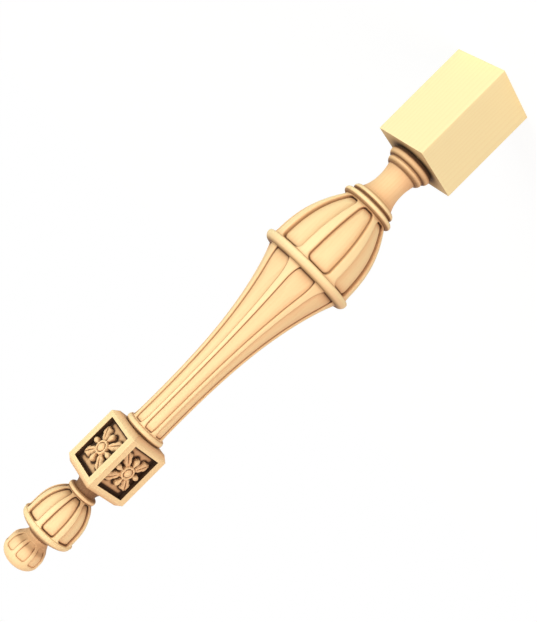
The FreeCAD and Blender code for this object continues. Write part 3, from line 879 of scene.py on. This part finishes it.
# %% Timber materials
def timber(name, pale, late, ring_show, fibre_show, roughness, bump):
    """Carved or planed timber: grain, then painted shade in hollows and painted highlight on crests, under a
    satin finish.
    """
    material = bpy.data.materials.new(name)
    material.use_nodes = True
    tree = material.node_tree
    shader = tree.nodes["Principled BSDF"]
    place = node(tree, "ShaderNodeTexCoord")
    grain = node(tree, "ShaderNodeGroup")
    grain.node_tree = solid_grain
    tree.links.new(place.outputs["Object"], grain.inputs["Position"])
    rings = math_node(tree, "MULTIPLY", grain.outputs["Rings"], ring_show)
    base = mix(tree, rings, pale, late)
    fibres = math_node(tree, "MULTIPLY", grain.outputs["Fibres"], fibre_show)
    base = mix(tree, fibres, base, late, "MULTIPLY")
    handled = node(tree, "ShaderNodeGroup")
    handled.node_tree = hollow_and_crest
    tree.links.new(base, handled.inputs["Color"])
    for label in ("hollow", "crest"):
        read = node(tree, "ShaderNodeAttribute", attribute_name=label)
        tree.links.new(read.outputs["Fac"], handled.inputs[label.capitalize()])
    tree.links.new(grain.outputs["Fibres"], handled.inputs["Speckle"])
    tree.links.new(handled.outputs["Color"], shader.inputs["Base Color"])
    rough = math_node(tree, "MULTIPLY_ADD", grain.outputs["Cloud"], 0.12, roughness - 0.06)
    rough = math_node(tree, "MULTIPLY_ADD", handled.outputs["Shaded"], 0.25, rough)
    tree.links.new(rough, shader.inputs["Roughness"])
    relief_height = math_node(tree, "MULTIPLY_ADD", grain.outputs["Fibres"], 0.5,
                              math_node(tree, "MULTIPLY", grain.outputs["Rings"], 0.3))
    raised = node(tree, "ShaderNodeBump", Strength=bump, Distance=0.0002)
    tree.links.new(relief_height, raised.inputs["Height"])
    tree.links.new(raised.outputs[0], shader.inputs["Normal"])
    shader.inputs["Specular IOR Level"].default_value = 0.3
    return material


turned_timber = timber("turned_timber", TURNED_PALE, TURNED_LATE, 0.45, 0.16, 0.52, 0.35)
planed_timber = timber("planed_timber", PLANED_PALE, PLANED_LATE, 0.45, 0.14, 0.56, 0.3)
for piece in timber_pieces:
    piece.data.materials.append(planed_timber if piece.name == "plain_block" else turned_timber)
print("finished", len(timber_pieces), "pieces")

# %% [markdown]
# ## Camera, floor and light
#
# The picture was taken close to level with the middle of the baluster, with the camera rolled
# over, so that the part lies across the frame from corner to corner. The place, bearing, slope
# and roll below come from the block's corners and the rings' outlines.

# %% Camera
CAMERA_PLACE = Vector((-0.96419, -0.93878, 0.45848))
CAMERA_BEARING = math.radians(44.3896)
CAMERA_SLOPE = math.radians(-1.3317)
CAMERA_ROLL = math.radians(-134.9265)
LENS = 58.80
forward = Vector((math.cos(CAMERA_SLOPE) * math.cos(CAMERA_BEARING),
                  math.cos(CAMERA_SLOPE) * math.sin(CAMERA_BEARING), math.sin(CAMERA_SLOPE)))
level = forward.cross(Vector((0.0, 0.0, 1.0))).normalized()
upright = level.cross(forward)
right = level * math.cos(CAMERA_ROLL) + upright * math.sin(CAMERA_ROLL)
back = -forward
lens_up = back.cross(right)
camera_data = bpy.data.cameras.new("camera")
camera_data.lens = LENS
camera_data.sensor_width = 36.0
camera_data.sensor_fit = "AUTO"
camera = bpy.data.objects.new("camera", camera_data)
turned_to = Matrix((right, lens_up, back)).transposed().to_4x4()
camera.matrix_world = Matrix.Translation(CAMERA_PLACE) @ turned_to
bpy.context.scene.collection.objects.link(camera)
bpy.context.scene.camera = camera
print("camera looks along", [round(v, 3) for v in forward])

# %% Floor
floor_mesh = bpy.data.meshes.new("floor")
FLOOR_REACH = 40.0
FLOOR_DROP = -0.0002
floor_mesh.from_pydata([(-FLOOR_REACH, -FLOOR_REACH, FLOOR_DROP), (FLOOR_REACH, -FLOOR_REACH, FLOOR_DROP),
                        (FLOOR_REACH, FLOOR_REACH, FLOOR_DROP), (-FLOOR_REACH, FLOOR_REACH, FLOOR_DROP)],
                       [], [(0, 1, 2, 3)])
floor = bpy.data.objects.new("floor", floor_mesh)
bpy.context.scene.collection.objects.link(floor)
floor_paint = bpy.data.materials.new("white_floor")
floor_paint.use_nodes = True
tree = floor_paint.node_tree
coat = tree.nodes["Principled BSDF"]
coat.inputs["Base Color"].default_value = (1.0, 1.0, 1.0, 1.0)
coat.inputs["Roughness"].default_value = 0.9
coat.inputs["Specular IOR Level"].default_value = 0.0
glow = node(tree, "ShaderNodeEmission", Strength=1.09)
seen = node(tree, "ShaderNodeLightPath")
share = math_node(tree, "MULTIPLY", seen.outputs["Is Camera Ray"], 0.8)
both = node(tree, "ShaderNodeMixShader")
tree.links.new(share, both.inputs[0])
tree.links.new(coat.outputs[0], both.inputs[1])
tree.links.new(glow.outputs[0], both.inputs[2])
tree.links.new(both.outputs[0], tree.nodes["Material Output"].inputs["Surface"])
floor_mesh.materials.append(floor_paint)

# %% Studio light
def lamp(name, toward, strength, color, angle):
    """Soft sun that shines along a direction."""
    data = bpy.data.lights.new(name, "SUN")
    data.energy = strength
    data.color = color
    data.angle = math.radians(angle)
    made = bpy.data.objects.new(name, data)
    made.rotation_mode = "QUATERNION"
    made.rotation_quaternion = Vector(toward).normalized().to_track_quat("-Z", "Y")
    bpy.context.scene.collection.objects.link(made)
    return made


lamp("key_light", (0.07, 1.0, -0.22), 2.2, (0.90, 1.0, 0.97), 40.0)
lamp("warm_fill", (1.0, 0.2, -0.1), 1.78, (1.0, 0.78, 0.72), 50.0)
world = bpy.data.worlds.new("studio")
bpy.context.scene.world = world
world.use_nodes = True
tree = world.node_tree
sky = tree.nodes["Background"]
sky.inputs["Color"].default_value = (1.0, 0.97, 0.93, 1.0)
sky.inputs["Strength"].default_value = 0.45
white = node(tree, "ShaderNodeBackground", Strength=1.0)
white.inputs["Color"].default_value = (1.0, 1.0, 1.0, 1.0)
seen = node(tree, "ShaderNodeLightPath")
mirrored = math_node(tree, "MAXIMUM", seen.outputs["Is Glossy Ray"], seen.outputs["Is Transmission Ray"])
straight = math_node(tree, "MAXIMUM", seen.outputs["Is Camera Ray"], mirrored)
chosen = node(tree, "ShaderNodeMixShader")
tree.links.new(straight, chosen.inputs[0])
tree.links.new(sky.outputs[0], chosen.inputs[1])
tree.links.new(white.outputs[0], chosen.inputs[2])
tree.links.new(chosen.outputs[0], tree.nodes["World Output"].inputs["Surface"])
bpy.context.scene.view_settings.view_transform = "Standard"
